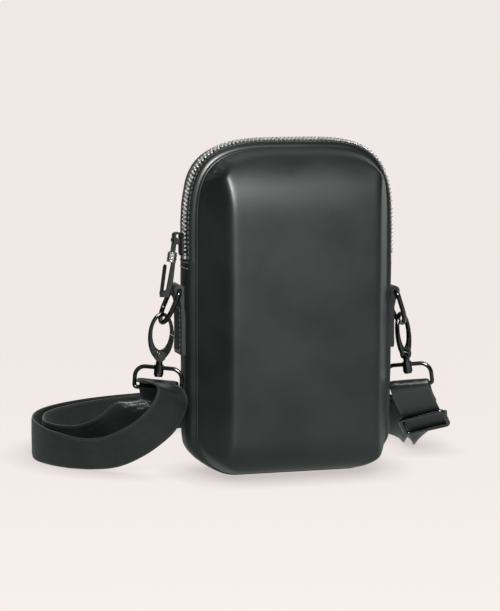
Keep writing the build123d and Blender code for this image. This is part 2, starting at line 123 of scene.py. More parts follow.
def leather_material(name, colour, rough, grain_size, grain_depth):
    """Semi-matt grained leather: pebbled bump, patchy polish, and paler rubbed edges."""
    material, tree, shader = new_material(name)
    place = add_node(tree, "ShaderNodeTexCoord").outputs["Object"]
    pebbles = add_node(
        tree,
        "ShaderNodeTexVoronoi",
        {"Vector": place, "Scale": 1.0 / (grain_size * MM), "Smoothness": 0.35, "Randomness": 0.9},
        feature="SMOOTH_F1",
    )
    fine = add_node(
        tree,
        "ShaderNodeTexNoise",
        {"Vector": place, "Scale": 3.4 / (grain_size * MM), "Detail": 4.0, "Roughness": 0.6},
    )
    broad = add_node(tree, "ShaderNodeTexNoise", {"Vector": place, "Scale": 26.0, "Detail": 3.0})
    creases = add_node(
        tree,
        "ShaderNodeTexNoise",
        {"Vector": place, "Scale": 95.0, "Detail": 5.0, "Roughness": 0.55, "Distortion": 1.4},
    )
    height = maths(tree, "MULTIPLY", pebbles.outputs["Distance"], 0.55)
    height = maths(tree, "ADD", height, maths(tree, "MULTIPLY", fine.outputs["Fac"], 0.32))
    height = maths(tree, "ADD", height, maths(tree, "MULTIPLY", creases.outputs["Fac"], 0.9))
    bump = add_node(
        tree, "ShaderNodeBump", {"Height": height, "Distance": grain_depth * MM, "Strength": 0.75}
    )
    tree.links.new(bump.outputs["Normal"], shader.inputs["Normal"])
    edges = ramp(tree, add_node(tree, "ShaderNodeNewGeometry").outputs["Pointiness"], 0.0, 1.0, 0.515, 0.60)
    patchy = mix_colour(
        tree,
        ramp(tree, broad.outputs["Fac"], 0.0, 1.0, 0.35, 0.65),
        tuple(c * 0.82 for c in colour),
        tuple(c * 1.18 for c in colour),
    )
    worn_colour = tuple(c * 2.2 + 0.006 for c in colour)
    rubbed = mix_colour(tree, maths(tree, "MULTIPLY", edges, 0.35), patchy, worn_colour)
    tree.links.new(rubbed, shader.inputs["Base Color"])
    polish = ramp(tree, broad.outputs["Fac"], rough - 0.05, rough + 0.06, 0.3, 0.7)
    pores = ramp(tree, pebbles.outputs["Distance"], 0.0, 0.09, 0.25, 0.6)
    tree.links.new(maths(tree, "ADD", polish, pores), shader.inputs["Roughness"])
    return material


def metal_material(name, colour, rough):
    """Plated metal with softened edges, faint scratches and uneven polish."""
    edge_softness, scratch_depth = 0.35 * MM, 0.012 * MM
    material, tree, shader = new_material(name)
    place = add_node(tree, "ShaderNodeTexCoord").outputs["Object"]
    smears = add_node(
        tree, "ShaderNodeTexNoise", {"Vector": place, "Scale": 420.0, "Detail": 4.0, "Roughness": 0.7}
    )
    scratches = add_node(
        tree, "ShaderNodeTexNoise", {"Vector": place, "Scale": 2600.0, "Detail": 2.0, "Distortion": 2.0}
    )
    soft = add_node(tree, "ShaderNodeBevel", {"Radius": edge_softness}, samples=4)
    bump = add_node(
        tree,
        "ShaderNodeBump",
        {
            "Height": scratches.outputs["Fac"],
            "Distance": scratch_depth,
            "Strength": 0.5,
            "Normal": soft.outputs["Normal"],
        },
    )
    tree.links.new(bump.outputs["Normal"], shader.inputs["Normal"])
    polish = ramp(tree, smears.outputs["Fac"], rough - 0.05, rough + 0.08, 0.3, 0.7)
    tree.links.new(polish, shader.inputs["Roughness"])
    edges = ramp(tree, add_node(tree, "ShaderNodeNewGeometry").outputs["Pointiness"], 0.0, 0.5, 0.52, 0.62)
    worn = mix_colour(tree, edges, colour, tuple(min(1.0, c * 1.8) for c in colour))
    toned = mix_colour(
        tree, ramp(tree, smears.outputs["Fac"], 0.0, 1.0, 0.3, 0.7), worn, tuple(c * 0.8 for c in colour)
    )
    tree.links.new(toned, shader.inputs["Base Color"])
    shader.inputs["Metallic"].default_value = 1.0
    return material


def webbing_material():
    """Satin nylon webbing: chevron twill ribs along the strap's own length, with a plainer selvedge."""
    material, tree, shader = new_material("webbing_twill")
    place = add_node(tree, "ShaderNodeUVMap").outputs["UV"]
    split = add_node(tree, "ShaderNodeSeparateXYZ", {"Vector": place})
    along, across = split.outputs["X"], split.outputs["Y"]
    half_width = 12.5 * MM
    from_middle = maths(tree, "ABSOLUTE", maths(tree, "SUBTRACT", across, half_width))
    lean = maths(tree, "PINGPONG", from_middle, 3.1 * MM)
    rib = maths(tree, "ADD", maths(tree, "MULTIPLY", along, 5200.0), maths(tree, "MULTIPLY", lean, 5200.0))
    ribs = maths(tree, "SINE", rib)
    yarn = maths(tree, "SINE", maths(tree, "MULTIPLY", across, 9800.0))
    picks = maths(tree, "SINE", maths(tree, "MULTIPLY", along, 9000.0))
    crossing = maths(tree, "MULTIPLY", yarn, picks)
    fuzz = add_node(tree, "ShaderNodeTexNoise", {"Vector": place, "Scale": 900.0, "Detail": 4.0})
    height = maths(tree, "ADD", maths(tree, "MULTIPLY", ribs, 0.6), maths(tree, "MULTIPLY", crossing, 0.35))
    height = maths(tree, "ADD", height, maths(tree, "MULTIPLY", fuzz.outputs["Fac"], 0.6))
    selvedge = ramp(tree, from_middle, 0.0, 1.0, 10.6 * MM, 11.2 * MM)
    height = maths(tree, "ADD", height, maths(tree, "MULTIPLY", selvedge, 1.4))
    bump = add_node(tree, "ShaderNodeBump", {"Height": height, "Distance": 0.055 * MM, "Strength": 0.8})
    tree.links.new(bump.outputs["Normal"], shader.inputs["Normal"])
    # Painted shade and light of the twill: the colour is darker in the rib hollows and lighter on the ribs.
    shade = ramp(tree, ribs, 0.0, 1.0, -1.0, 1.0)
    base = mix_colour(tree, shade, (0.0030, 0.0038, 0.0036), (0.0065, 0.0076, 0.0072))
    worn = add_node(tree, "ShaderNodeTexNoise", {"Vector": place, "Scale": 60.0, "Detail": 3.0})
    base = mix_colour(
        tree, ramp(tree, worn.outputs["Fac"], 0.0, 0.35, 0.45, 0.75), base, (0.012, 0.0135, 0.013)
    )
    base = mix_colour(tree, maths(tree, "MULTIPLY", selvedge, 0.5), base, (0.018, 0.020, 0.0195))
    tree.links.new(base, shader.inputs["Base Color"])
    tree.links.new(ramp(tree, fuzz.outputs["Fac"], 0.30, 0.42, 0.3, 0.7), shader.inputs["Roughness"])
    shader.inputs["Anisotropic"].default_value = 0.5
    shader.inputs["Sheen Weight"].default_value = 0.04
    shader.inputs["Sheen Roughness"].default_value = 0.3
    shader.inputs["Sheen Tint"].default_value = (0.75, 0.8, 0.8, 1)
    return material


def cloth_material(name, colour, threads_per_mm, rough=0.8, herringbone=False):
    """Plain or herringbone woven cloth, drawn from crossing threads in the object's own space."""
    material, tree, shader = new_material(name)
    place = add_node(tree, "ShaderNodeTexCoord").outputs["Object"]
    split = add_node(tree, "ShaderNodeSeparateXYZ", {"Vector": place})
    rate = threads_per_mm / MM * math.pi
    upright = maths(tree, "ADD", split.outputs["X"], split.outputs["Z"])
    level = split.outputs["Y"]
    if herringbone:
        level = maths(tree, "ADD", level, maths(tree, "PINGPONG", upright, 0.9 * MM))
    warp = maths(tree, "SINE", maths(tree, "MULTIPLY", upright, rate))
    weft = maths(tree, "SINE", maths(tree, "MULTIPLY", level, rate))
    weave = maths(tree, "MULTIPLY", warp, weft)
    fuzz = add_node(tree, "ShaderNodeTexNoise", {"Vector": place, "Scale": 1500.0, "Detail": 3.0})
    height = maths(tree, "ADD", weave, maths(tree, "MULTIPLY", fuzz.outputs["Fac"], 0.8))
    bump = add_node(tree, "ShaderNodeBump", {"Height": height, "Distance": 0.08 * MM, "Strength": 0.9})
    tree.links.new(bump.outputs["Normal"], shader.inputs["Normal"])
    # Painted shade and light: the colour is darker where the weave sinks and lighter where the threads
    # rise.
    sunk, raised = tuple(c * 0.7 for c in colour), tuple(c * 1.35 for c in colour)
    base = mix_colour(tree, ramp(tree, weave, 0.0, 1.0, -1.0, 1.0), sunk, raised)
    tree.links.new(base, shader.inputs["Base Color"])
    tree.links.new(ramp(tree, fuzz.outputs["Fac"], rough - 0.06, rough + 0.08), shader.inputs["Roughness"])
    shader.inputs["Sheen Weight"].default_value = 0.25
    return material


leather = leather_material("leather_smooth", (0.0032, 0.0046, 0.0043), 0.41, 0.55, 0.03)
leather_gusset = leather_material("leather_gusset", (0.0030, 0.0038, 0.0036), 0.34, 0.55, 0.04)
leather_strap = leather_material("leather_tab", (0.0045, 0.0050, 0.0048), 0.40, 0.5, 0.06)
gunmetal = metal_material("gunmetal_plating", (0.075, 0.075, 0.076), 0.13)
dark_metal = metal_material("dark_plating", (0.03, 0.03, 0.03), 0.25)
polished = metal_material("bright_plating", (0.72, 0.72, 0.73), 0.13)
teeth_metal = metal_material("zip_metal", (0.78, 0.765, 0.745), 0.32)
webbing = webbing_material()
zip_tape = cloth_material("zip_tape_weave", (0.018, 0.019, 0.02), 1.7, herringbone=True)
lining = cloth_material("lining_weave", (0.05, 0.05, 0.055), 2.2)
foam = cloth_material("foam_cells", (0.06, 0.06, 0.06), 1.1, rough=0.95)
board = leather_material("board_sheet", (0.05, 0.05, 0.05), 0.6, 1.2, 0.03)
thread = cloth_material("thread_twist", (0.035, 0.036, 0.037), 3.0, rough=0.6)


# ---- mesh helpers
def mesh_piece(name, points, faces, material, body, uvs=None, smooth=True):
    """A mesh from points in millimetres, riding on a body of the frame."""
    mesh = bpy.data.meshes.new(name)
    mesh.from_pydata([Vector(p) * MM for p in points], [], faces)
    mesh.validate()
    if uvs:
        layer = mesh.uv_layers.new(name="UVMap")
        for loop in mesh.loops:
            layer.data[loop.index].uv = uvs[loop.vertex_index]
    mesh.update()
    if smooth:
        mesh.shade_smooth()
    piece = bpy.data.objects.new(name, mesh)
    bpy.context.scene.collection.objects.link(piece)
    mesh.materials.append(material)
    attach(piece, body)
    return piece


def sheet(name, rows, material, body, wrap_rows=False, wrap_columns=False):
    """A grid mesh from rows of points of the same length."""
    count_rows, count_columns = len(rows), len(rows[0])
    points = [p for row in rows for p in row]
    faces = []
    for i in range(count_rows if wrap_rows else count_rows - 1):
        for j in range(count_columns if wrap_columns else count_columns - 1):
            i2, j2 = (i + 1) % count_rows, (j + 1) % count_columns
            a = i * count_columns + j
            b = i * count_columns + j2
            c = i2 * count_columns + j2
            d = i2 * count_columns + j
            faces.append((a, b, c, d))
    return mesh_piece(name, points, faces, material, body)


def tube_faces(stations, ring, base=0, flip_caps=False):
    """Faces of a closed tube whose points come as rings of one size, one ring after another."""
    faces = []
    for station in range(stations - 1):
        near = base + station * ring
        far = near + ring
        for k in range(ring):
            k2 = (k + 1) % ring
            faces.append((near + k, near + k2, far + k2, far + k))
    first = tuple(base + k for k in range(ring))
    last = tuple(base + (stations - 1) * ring + k for k in range(ring))
    faces.append(first[::-1] if flip_caps else first)
    faces.append(last if flip_caps else last[::-1])
    return faces


def fix_normals(piece, inside):
    """Turns all the faces so that they look away from a point."""
    mesh = piece.data
    centre = Vector(inside) * MM
    outward = sum((p.center - centre).dot(p.normal) * p.area for p in mesh.polygons)
    if outward < 0:
        mesh.flip_normals()


def smooth_step(low, high, value):
    """0 below low, 1 above high, and a smooth rise between."""
    t = min(1.0, max(0.0, (value - low) / (high - low)))
    return t * t * (3 - 2 * t)


def soft_min(a, b, radius):
    """The smaller of two values, rounded over where they are close."""
    h = max(radius - abs(a - b), 0.0) / radius
    return min(a, b) - h * h * radius * 0.25


def ripple(point, size, seed=0.0):
    """Smooth noise from -1 to 1 at a place in millimetres, with features of a given size."""
    x, y, z = (value / size for value in point)
    return noise.noise(Vector((x + seed, y + 3.7 * seed, z - seed)))


# ---- the bag's outline, by distance along it from the middle of the base, going up the right side
half_seam = seam_width / 2
half_base = half_seam - bottom_radius
shoulder_rise = seam_top - shoulder_start


def spread(low, high, count):
    """Evenly spaced values from low to high."""
    return [low + (high - low) * i / (count - 1) for i in range(count)]


def half_outline():
    """(x, z) points up the right side, from the middle of the base to the middle of the top."""
    points = [(x, seam_lift) for x in spread(0, half_base, 40)]
    for a in spread(0, math.pi / 2, 60)[1:]:
        across, up = math.sin(a), 1 - math.cos(a)
        points.append((half_base + bottom_radius * across, seam_lift + bottom_radius * up))
    points += [(half_seam, z) for z in spread(seam_lift + bottom_radius, shoulder_start, 60)[1:]]
    for a in spread(0, math.pi / 2, 240)[1:]:
        across, up = max(0.0, math.cos(a)), math.sin(a)
        reach = (across**shoulder_power + up**shoulder_power) ** (-1 / shoulder_power)
        points.append((half_seam * reach * across, shoulder_start + shoulder_rise * reach * up))
    return points


half_points = half_outline()
half_lengths = [0.0]
for (x1, z1), (x2, z2) in zip(half_points, half_points[1:]):
    half_lengths.append(half_lengths[-1] + math.hypot(x2 - x1, z2 - z1))
girth = 2 * half_lengths[-1]


def outline_at(distance):
    """(x, z, nx, nz): a point of the seam outline and its outward direction."""
    d = (distance + girth / 2) % girth - girth / 2
    side = 1 if d >= 0 else -1
    d = abs(d)
    k = min(len(half_lengths) - 2, max(0, bisect.bisect_right(half_lengths, d) - 1))
    (x1, z1), (x2, z2) = half_points[k], half_points[k + 1]
    t = (d - half_lengths[k]) / (half_lengths[k + 1] - half_lengths[k])
    before, after = half_points[max(0, k - 1)], half_points[min(len(half_points) - 1, k + 2)]
    run, climb = after[0] - before[0], after[1] - before[1]
    size = math.hypot(run, climb)
    return side * (x1 + (x2 - x1) * t), z1 + (z2 - z1) * t, side * climb / size, -run / size


arc_base = math.pi / 2 * bottom_radius
distance_at_zip_end = half_base + arc_base + (zip_end - seam_lift - bottom_radius)


def fullness(y):
    """Share of the gusset's bulge at a depth: nothing at the seams, full at the zip."""
    if y < zip_y:
        reach = (zip_y - y) / (gusset_edge + zip_y)
        return max(0.0, 1 - reach * reach) ** 0.5
    reach = (y - zip_y) / (gusset_edge - zip_y)
    return max(0.0, 1 - reach * reach) ** 0.5


def gusset_point(distance, y, lift=0.0):
    """A point on the gusset's outer face, lifted off it by lift."""
    x, z, nx, nz = outline_at(distance)
    share = fullness(y)
    down = smooth_step(0.2, 0.9, -nz)
    grow = (side_bulge * (1 - down) + base_drop * down) * share + lift
    return Vector((x + grow * nx, y, max(0.02, z + grow * nz)))


def lived_in(point, normal_xz, y):
    """Small hollows and wrinkles that keep the gusset from looking turned on a lathe."""
    if normal_xz[1] < -0.5:
        return point  # the base stays flat
    full_depth = 9.0
    calm = smooth_step(seam_y, full_depth, abs(y)) if abs(y) > full_depth else 1.0
    dent = calm * (0.55 * ripple(point, 31.0, 1.3) + 0.22 * ripple(point, 9.0, 4.1))
    return point + Vector((normal_xz[0], 0, normal_xz[1])) * dent


def gusset_sheet(name, start, end, y_values, rolled_edge=None, step=1.6, end_roll=False):
    """A strip of the gusset between two distances round the outline, through the given depths.
    rolled_edge turns one long edge (0 or -1) down into the bag, and end_roll both short ends."""
    count = max(2, int((end - start) / step))
    rows = []
    for i in range(count + 1):
        d = start + (end - start) * i / count
        x, z, nx, nz = outline_at(d)
        row = []
        for y in y_values:
            row.append(lived_in(gusset_point(d, y), (nx, nz), y))
        if rolled_edge is not None:
            edge = y_values[rolled_edge]
            turn = 1 if rolled_edge == -1 else -1
            extra = [(edge + turn * 0.35, -0.25), (edge + turn * 0.45, -0.8), (edge + turn * 0.3, -1.7)]
            folded = [lived_in(gusset_point(d, y, lift), (nx, nz), y) for y, lift in extra]
            row = row + folded if rolled_edge == -1 else folded[::-1] + row
        rows.append(row)
    if end_roll:
        for at_end in (0, -1):
            d = (start, end)[at_end]
            away = -1 if at_end == 0 else 1
            x, z, nx, nz = outline_at(d)
            for beyond, lift in ((0.35, -0.3), (0.4, -1.0), (0.3, -2.0)):
                row = [lived_in(gusset_point(d + away * beyond, y, lift), (nx, nz), y) for y in y_values]
                if at_end == 0:
                    rows.insert(0, row)
                else:
                    rows.append(row)
    piece = sheet(name, rows, leather_gusset, "bag")
    fix_normals(piece, (0, 0, seam_height / 2))
    return piece


edge_y = gusset_edge + 0.6
lower = gusset_sheet(
    "gusset_lower", -distance_at_zip_end, distance_at_zip_end, spread(-edge_y, edge_y, 40), end_roll=True
)
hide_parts("lower_gusset")
over_start = distance_at_zip_end - 1.0
over_end = girth - over_start
front_strip = gusset_sheet(
    "zip_strip_front", over_start, over_end, spread(-edge_y, zip_y - zip_half_opening, 14), rolled_edge=-1
)
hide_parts("front_zip_strip")
rear_strip = gusset_sheet(
    "zip_strip_rear", over_start, over_end, spread(zip_y + zip_half_opening, edge_y, 26), rolled_edge=0
)
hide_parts("rear_zip_strip")


# ---- padded front: a soft pillow box, simulated as cloth that is pinned along its seam
outline_tree = kdtree.KDTree(len(half_points))
for index, (x1, z1) in enumerate(half_points):
    outline_tree.insert((x1, 0.0, z1), index)
outline_tree.balance()


def pillow_depth(x, z):
    """How far the padded front stands out of its seam plane."""
    low_part = min(1.0, max(0.0, (z - seam_lift) / 26.0))
    top_part = min(1.0, max(0.0, (seam_top - z) / 42.0))
    profile = front_rise * max(0.0, 1 - (1 - low_part) ** 2.2) ** (1 / 2.2)
    profile *= max(0.0, 1 - (1 - top_part) ** 2.3) ** (1 / 2.3)
    middle = math.sin(math.pi * (z - seam_lift) / seam_height)
    profile += 3.0 * max(0.0, middle) * (1 - (x / seam_width * 2) ** 2)
    facet = (half_seam - abs(x)) * front_rise / front_inset
    to_seam = outline_tree.find((abs(x), 0.0, z))[2]
    return max(0.0, soft_min(soft_min(profile, facet, 2.2), 5.0 * to_seam, 1.6))


def fitted(x, z):
    """Moves a point of the plain rectangle round the bag to its place inside the rounded outline."""
    if z > shoulder_start:
        across, up = x / half_seam, (z - shoulder_start) / shoulder_rise
        power = shoulder_power
        new_x = half_seam * across * (1 - up**power / 2) ** (1 / power)
        return new_x, shoulder_start + shoulder_rise * up * (1 - abs(across) ** power / 2) ** (1 / power)
    foot = seam_lift + bottom_radius
    if z < foot and abs(x) > half_base:
        across, down = (abs(x) - half_base) / bottom_radius, (foot - z) / bottom_radius
        new_x = half_base + bottom_radius * across * math.sqrt(1 - down**2 / 2)
        return math.copysign(new_x, x), foot - bottom_radius * down * math.sqrt(1 - across**2 / 2)
    return x, z


def front_panel_piece():
    """The padded front as a grid over the outline, then cloth, then a finer smooth surface."""
    columns, bands = 64, 96
    frames = 24
    rows = []
    for i in range(bands + 1):
        v = 0.3 * (0.5 - 0.5 * math.cos(math.pi * i / bands)) + 0.7 * i / bands
        row = []
        for j in range(columns + 1):
            u = -1 + 2 * j / columns
            u = 0.6 * u + 0.4 * math.sin(u * math.pi / 2)
            x, z = fitted(u * half_seam, seam_lift + seam_height * v)
            on_edge = i in (0, bands) or j in (0, columns)
            depth = -0.4 if on_edge else pillow_depth(x, z)
            row.append(Vector((x, -seam_y - depth, z)))
        rows.append(row)
    piece = sheet("front_cushion", rows, leather, "bag")
    fix_normals(piece, (0, 40, seam_height / 2))
    group = piece.vertex_groups.new(name="held")
    for i in range(bands + 1):
        for j in range(columns + 1):
            on_edge = i in (0, bands) or j in (0, columns)
            near = min(i, bands - i, j, columns - j)
            weight = 1.0 if on_edge else 0.75 - 0.35 * min(1.0, near / 12)
            group.add([i * (columns + 1) + j], weight, "REPLACE")
    cloth = piece.modifiers.new("cloth", "CLOTH")
    settings = cloth.settings
    settings.quality = 8
    settings.mass = 0.25
    settings.tension_stiffness = 25
    settings.compression_stiffness = 25
    settings.shear_stiffness = 12
    settings.bending_stiffness = 2.5
    settings.air_damping = 3.0
    settings.vertex_group_mass = "held"
    settings.pin_stiffness = 4.0
    settings.effector_weights.gravity = 0.15
    settings.shrink_min = -0.003
    settings.use_pressure = True
    settings.uniform_pressure_force = 0.6
    cloth.collision_settings.use_collision = False
    cloth.point_cache.frame_end = frames
    scene = bpy.context.scene
    scene.frame_start, scene.frame_end = 1, frames
    for number in range(1, frames + 1):
        scene.frame_set(number)
    settled = piece.evaluated_get(bpy.context.evaluated_depsgraph_get())
    places = [v.co.copy() for v in settled.data.vertices]
    piece.modifiers.remove(cloth)
    for vertex, place in zip(piece.data.vertices, places):
        vertex.co = place
    scene.frame_set(1)
    relaxed = piece.modifiers.new("relaxed", "SMOOTH")
    relaxed.factor = 0.6
    relaxed.iterations = 12
    relaxed.vertex_group = "held"
    relaxed.invert_vertex_group = True
    finer = piece.modifiers.new("finer", "SUBSURF")
    finer.levels = 1
    finer.render_levels = 2
    return piece


front = front_panel_piece()
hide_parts("front_panel", "front_foam")


def back_panel_piece():
    """The plain flat back, with rolled edges and a slight padded swell."""
    rings = 22
    around = 220
    rows = []
    for i in range(rings + 1):
        t = i / rings
        inset = 1.0 - t
        row = []
        for j in range(around):
            x, z, nx, nz = outline_at(girth * j / around)
            middle_x, middle_z = 0.0, seam_lift + seam_height / 2
            px = middle_x + (x - middle_x) * t
            pz = middle_z + (z - middle_z) * t
            rim = inset * seam_width / 2
            depth = (back_rise - 0.6) * min(1.0, math.sqrt(min(1.0, rim / 5.0))) + 0.5 * inset
            p = Vector((px, seam_y + depth, pz))
            row.append(p + Vector((0, 0.25 * ripple(p, 26.0, 2.0) * min(1.0, rim / 10), 0)))
        rows.append(row)
    piece = sheet("back_cover", rows, leather, "bag", wrap_columns=True)
    fix_normals(piece, (0, -40, seam_height / 2))
    return piece


back = back_panel_piece()
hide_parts("back_panel")


def cord(name, y, lift, radius, material):
    """A round cord sewn all round the outline at one depth."""
    rows = []
    steps = 330
    for i in range(steps):
        x, z, nx, nz = outline_at(girth * i / steps)
        row = []
        for k in range(12):
            a = 2 * math.pi * k / 12
            wobble = 0.06 * ripple((x, y, z), 6.0, 5.0)
            grow = lift + radius * math.cos(a) + wobble
            row.append(Vector((x + grow * nx, y + radius * math.sin(a), max(0.05, z + grow * nz))))
        rows.append(row)
    piece = sheet(name, rows, material, "bag", wrap_rows=True, wrap_columns=True)
    fix_normals(piece, (0, y, seam_height / 2))
    return piece


for side, name in ((-1, "front"), (1, "back")):
    welt = cord(name + "_welt_cord", side * (seam_y - 1.0), -0.55, 1.25, leather_gusset)
    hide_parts(name + "_welt")


# ---- stitching: short round-ended threads laid along a path
def capsule(start, end, up, radius, points, faces):
    """Adds one stitch, raised in its middle, to lists of points and faces."""
    along = (end - start).normalized()
    side = along.cross(up).normalized()
    base = len(points)
    ring = 6
    stations = [(0.0, 0.35, -0.5), (0.18, 0.9, 0.1), (0.5, 1.0, 0.35), (0.82, 0.9, 0.1), (1.0, 0.35, -0.5)]
    for share, size, lift in stations:
        middle = start.lerp(end, share) + up * radius * lift
        for k in range(ring):
            a = 2 * math.pi * k / ring
            points.append(middle + (side * math.cos(a) + up * math.sin(a)) * radius * size)
    faces.extend(tube_faces(len(stations), ring, base, flip_caps=True))


def stitches(name, paths, body, pitch=3.0, share=0.72, radius=0.27):
    """Stitches along paths, each a list of (point, outward direction)."""
    points, faces = [], []
    for path in paths:
        lengths = [0.0]
        for (a, _), (b, _) in zip(path, path[1:]):
            lengths.append(lengths[-1] + (b - a).length)
        total = lengths[-1]
        count = max(1, int(total / pitch))

        def at(distance):
            k = 0
            while k < len(lengths) - 2 and lengths[k + 1] < distance:
                k += 1
            t = (distance - lengths[k]) / max(1e-6, lengths[k + 1] - lengths[k])
            return path[k][0].lerp(path[k + 1][0], t), path[k][1].lerp(path[k + 1][1], t).normalized()

        for i in range(count):
            first = total * (i + (1 - share) / 2) / count
            last = total * (i + (1 + share) / 2) / count
            (start, up), (end, _) = at(first), at(last)
            capsule(start, end, up, radius, points, faces)
    piece = mesh_piece(name, points, faces, thread, body)
    return piece


def gusset_path(start, end, y, step=1.5):
    """Points and outward directions along the gusset at one depth."""
    path = []
    count = max(1, int((end - start) / step))
    for i in range(count + 1):
        d = start + (end - start) * i / count
        x, z, nx, nz = outline_at(d)
        path.append((lived_in(gusset_point(d, y, 0.05), (nx, nz), y), Vector((nx, 0, nz))))
    return path


def across_path(distance, y_low, y_high):
    """Points and outward directions across the gusset."""
    x, z, nx, nz = outline_at(distance)
    outward = Vector((nx, 0, nz))
    return [
        (lived_in(gusset_point(distance, y, 0.05), (nx, nz), y), outward) for y in spread(y_low, y_high, 14)
    ]


beside_zip = 2.0
top_rows = [
    gusset_path(over_start + 1, over_end - 1, zip_y - zip_half_opening - beside_zip),
    gusset_path(over_start + 1, over_end - 1, zip_y + zip_half_opening + beside_zip),
]
stitches("zip_stitching", top_rows, "bag")
end_rows = []
for sign in (-1, 1):
    for back_off in (2.0, 5.5):
        end_rows.append(across_path(sign * (distance_at_zip_end - back_off), -12.5, 12.0))
stitches("zip_end_stitching", end_rows, "bag")


# ---- zip: woven tapes and interlocking teeth
def zip_tape_piece(name, y_near, y_far):
    """One woven tape, just under the leather, from beside the teeth to under the strip."""
    depth = 1.75
    rows = []
    for d in spread(over_start, over_end, 240):
        row = []
        for y in spread(y_near, y_far, 7):
            row.append(gusset_point(d, y, 0.12 * ripple((d, y, 0), 3.0) - depth))
        rows.append(row)
    piece = sheet(name, rows, zip_tape, "bag")
    fix_normals(piece, (0, 0, seam_height / 2))
    return piece


for side, name in ((-1, "front"), (1, "rear")):
    tape = zip_tape_piece(name + "_tape_weave", zip_y + side * 0.3, zip_y + side * 8.0)
    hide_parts(name + "_zip_tape")


def tooth_shape():
    """A tooth from its root (y 2.5) to its nose past the middle (y -0.4): (points, faces)."""
    root = [(2.5, 0.50, 0.85), (2.0, 0.52, 1.05), (0.9, 0.50, 1.05)]
    nose = [(0.35, 0.62, 1.0), (-0.25, 0.55, 0.9), (-0.45, 0.3, 0.6)]
    stations = root + nose
    corner = [(1, 0.55), (0.55, 1), (-0.55, 1), (-1, 0.55), (-1, -0.8), (1, -0.8)]
    points = [(half * cx, y, high * cz) for y, half, high in stations for cx, cz in corner]
    return points, tube_faces(len(stations), len(corner))


def zip_teeth_piece(name, side, first):
    """A row of teeth along the zip's middle line."""
    shape, shape_faces = tooth_shape()
    points, faces = [], []
    lane = 0.45  # kept open for the slider's neck, as far up as the slider goes
    zip_travel = 12.0
    slider_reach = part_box("zip_slider")[1].z / MM + zip_travel + 1.0
    d = over_start + first
    while d < over_end - 3.0:
        x, z, nx, nz = outline_at(d)
        out = Vector((nx, 0, nz))
        deep = Vector((0, side, 0))
        along = out.cross(Vector((0, 1, 0))).normalized()
        origin = gusset_point(d, zip_y, 0.05)
        base = len(points)
        tilt = 0.06 * ripple((d, side * 5, 0), 2.0)
        parted = x < 0 and z < slider_reach
        for a, b, c in shape:
            reach = max(b, lane) if parted else b
            points.append(origin + along * (a + tilt * b) + deep * reach + out * c)
        faces.extend(tuple(base + k for k in face) for face in shape_faces)
        d += tooth_pitch * crest_step(d)
    piece = mesh_piece(name, points, faces, teeth_metal, "bag", smooth=False)
    return piece


def crest_step(distance):
    """Step along the seam outline that moves one millimetre along the zip."""
    here, there = gusset_point(distance, zip_y), gusset_point(distance + 1.0, zip_y)
    return 1.0 / (there - here).length


for side, name, first in ((-1, "front", 4.0), (1, "rear", 4.0 + tooth_pitch / 2)):
    row = zip_teeth_piece(name + "_teeth", side, first)
    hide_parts(name + "_zip_teeth")


# ---- leather anchor tabs: a folded strap sewn to the gusset, with a loop at its top
def anchor_tab_piece(name, side, node):
    """A tab from the frame's own box: upright, square at its foot, round over its ring's wire."""
    low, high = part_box(node)
    top = high.z / MM
    foot = low.z / MM
    half = 9.0
    ring_z = top - 3.3
    ring_x = 70.0
    face = crest + 3.0
    radius = 3.4
    outline_points = []
    for z in spread(foot, ring_z - 9.0, 14):
        outline_points.append((face - 0.25 * math.sin((z - foot) / 30.0 * math.pi), z))
    for z in spread(ring_z - 7.0, ring_z - 2.5, 5):
        t = smooth_step(ring_z - 9.0, ring_z, z)
        outline_points.append((face + (ring_x + radius - face) * t, z))
    for k in range(9):
        a = math.radians(180 * k / 8)
        outline_points.append((ring_x + radius * math.cos(a), ring_z + radius * math.sin(a)))
    back_x = crest - 0.6
    outline_points.append((ring_x - radius, ring_z - 3.0))
    outline_points.append((back_x, ring_z - 7.0))
    outline_points.append((back_x, foot))
    edge_round = [(-half, 0.7), (-half + 0.35, 0.2), (-half + 1.0, 0.0), (-half + 4, 0.0), (0, 0.0)]
    edge_round += [(-y, inset) for y, inset in edge_round[-2::-1]]
    centre = Vector((ring_x - 3.0, 0, (foot + top) / 2))
    rows = []
    for y, inset in edge_round:
        row = []
        for x, z in outline_points:
            nearer = smooth_step(foot + 1.5, foot - 0.1, z) * 0.5
            ring_part = z > ring_z - 6.5
            width = 0.81 if ring_part else 1.0
            px = x - inset if x > back_x + 0.5 else x
            px -= nearer
            row.append(Vector((side * px, y * width, z)))
        rows.append(row)
    points = [p for row in rows for p in row]
    faces = tube_faces(len(rows), len(outline_points))
    piece = mesh_piece(name, points, faces, leather_strap, "bag")
    fix_normals(piece, centre)
    piece.data.set_sharp_from_angle(angle=math.radians(40))
    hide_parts(node)
    outward = Vector((side, 0, 0))
    inset = 1.9
    box_top = ring_z - 11.0

    def on_face(y, z):
        return Vector((side * (face - 0.25 * math.sin((z - foot) / 30.0 * math.pi) + 0.02), y, z)), outward

    left, right, low_row = inset - half, half - inset, foot + inset
    corners = [(left, box_top), (left, low_row), (right, low_row), (right, box_top)]
    paths = []
    for (y1, z1), (y2, z2) in zip(corners, corners[1:] + corners[:1]):
        paths.append([on_face(y1 + (y2 - y1) * t, z1 + (z2 - z1) * t) for t in spread(0, 1, 12)])
    stitches(name + "_stitching", paths, "bag", pitch=2.8, radius=0.25)
    return piece


anchor_tab_piece("left_tab", -1, "left_anchor_tab")
anchor_tab_piece("right_tab", 1, "right_anchor_tab")


# ---- webbing: one long strap from the adjuster, round the floor loop, over both D-rings
webbing_width = 25.0
webbing_thickness = 1.4
bar_z = -20.3


